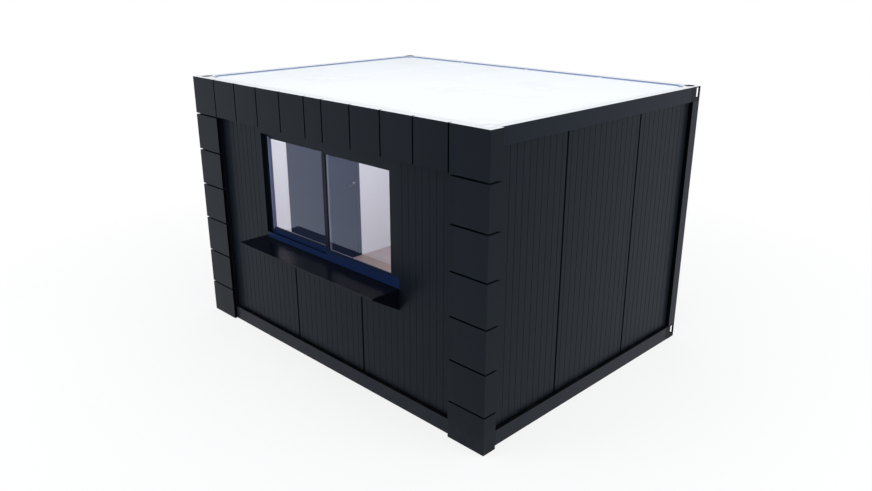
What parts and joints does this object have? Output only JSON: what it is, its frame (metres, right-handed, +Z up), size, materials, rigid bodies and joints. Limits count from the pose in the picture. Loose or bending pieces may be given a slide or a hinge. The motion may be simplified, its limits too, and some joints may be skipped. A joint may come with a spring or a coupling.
{
  "type": "sales container",
  "caption": "Steel-framed sales container with insulated panel walls, sliding serving window, counter shelf, side door and a cassette portal round the front.",
  "frame": {"origin": "on the ground under the centre of the whole footprint, frame, cladding and counter included", "axes": "+X along the front to the right as seen from outside, +Y from the front to the back, +Z up"},
  "size_m": [4.06, 3.262, 2.6],
  "materials": {
    "frame_paint": "satin",
    "casting_paint": "satin",
    "zinc_steel": "matt",
    "floor_board": "matt",
    "floor_planks": "satin",
    "white_board": "matt",
    "roof_coating": "matt",
    "wall_panel": "satin",
    "window_profile": "satin",
    "window_glass": "gloss",
    "counter_sheet": "gloss",
    "door_paint": "satin",
    "hinge_steel": "satin",
    "handle_metal": "satin",
    "cladding_paint": "satin"
  },
  "bodies": {
    "container": {"base_beam_front": "frame_paint", "base_beam_rear": "frame_paint", "base_beam_left": "frame_paint", "base_beam_right": "frame_paint", "roof_beam_front": "frame_paint", "roof_beam_rear": "frame_paint", "roof_beam_left": "frame_paint", "roof_beam_right": "frame_paint", "front_corner_posts": "frame_paint", "rear_corner_posts": "frame_paint", "corner_castings_bottom": "casting_paint", "corner_castings_top": "casting_paint", "floor_joists": "zinc_steel", "floor_pan": "zinc_steel", "floor_deck": "floor_board", "floor_covering": "floor_planks", "ceiling_board": "white_board", "roof_joists": "zinc_steel", "roof_sheet": "roof_coating", "front_wall_left": "wall_panel", "front_wall_centre": "wall_panel", "front_wall_right": "wall_panel", "right_wall_front": "wall_panel", "right_wall_middle": "wall_panel", "right_wall_rear": "wall_panel", "rear_wall_left": "wall_panel", "rear_wall_middle": "wall_panel", "rear_wall_right": "wall_panel", "left_wall_front": "wall_panel", "left_wall_rear": "wall_panel", "left_wall_over_door": "wall_panel", "window_frame": "window_profile", "window_sash_left": "window_profile", "window_sash_right": "window_profile", "window_glass": "window_glass", "counter_shelf": "counter_sheet", "door_frame": "door_paint", "door_frame_hinges": "hinge_steel", "cladding_rails": "frame_paint", "cladding_fascia": "cladding_paint", "cladding_left": "cladding_paint", "cladding_right": "cladding_paint"},
    "door": {"door_leaf": "door_paint", "door_leaf_hinges": "hinge_steel", "door_handle": "handle_metal"}
  },
  "joints": [
    {"name": "door_swing", "type": "hinge", "parent": "container", "child": "door", "pos_m": [-1.976, -0.356, 1.15], "axis": [0, 0, 1], "range_deg": [0, 105]}
  ]
}
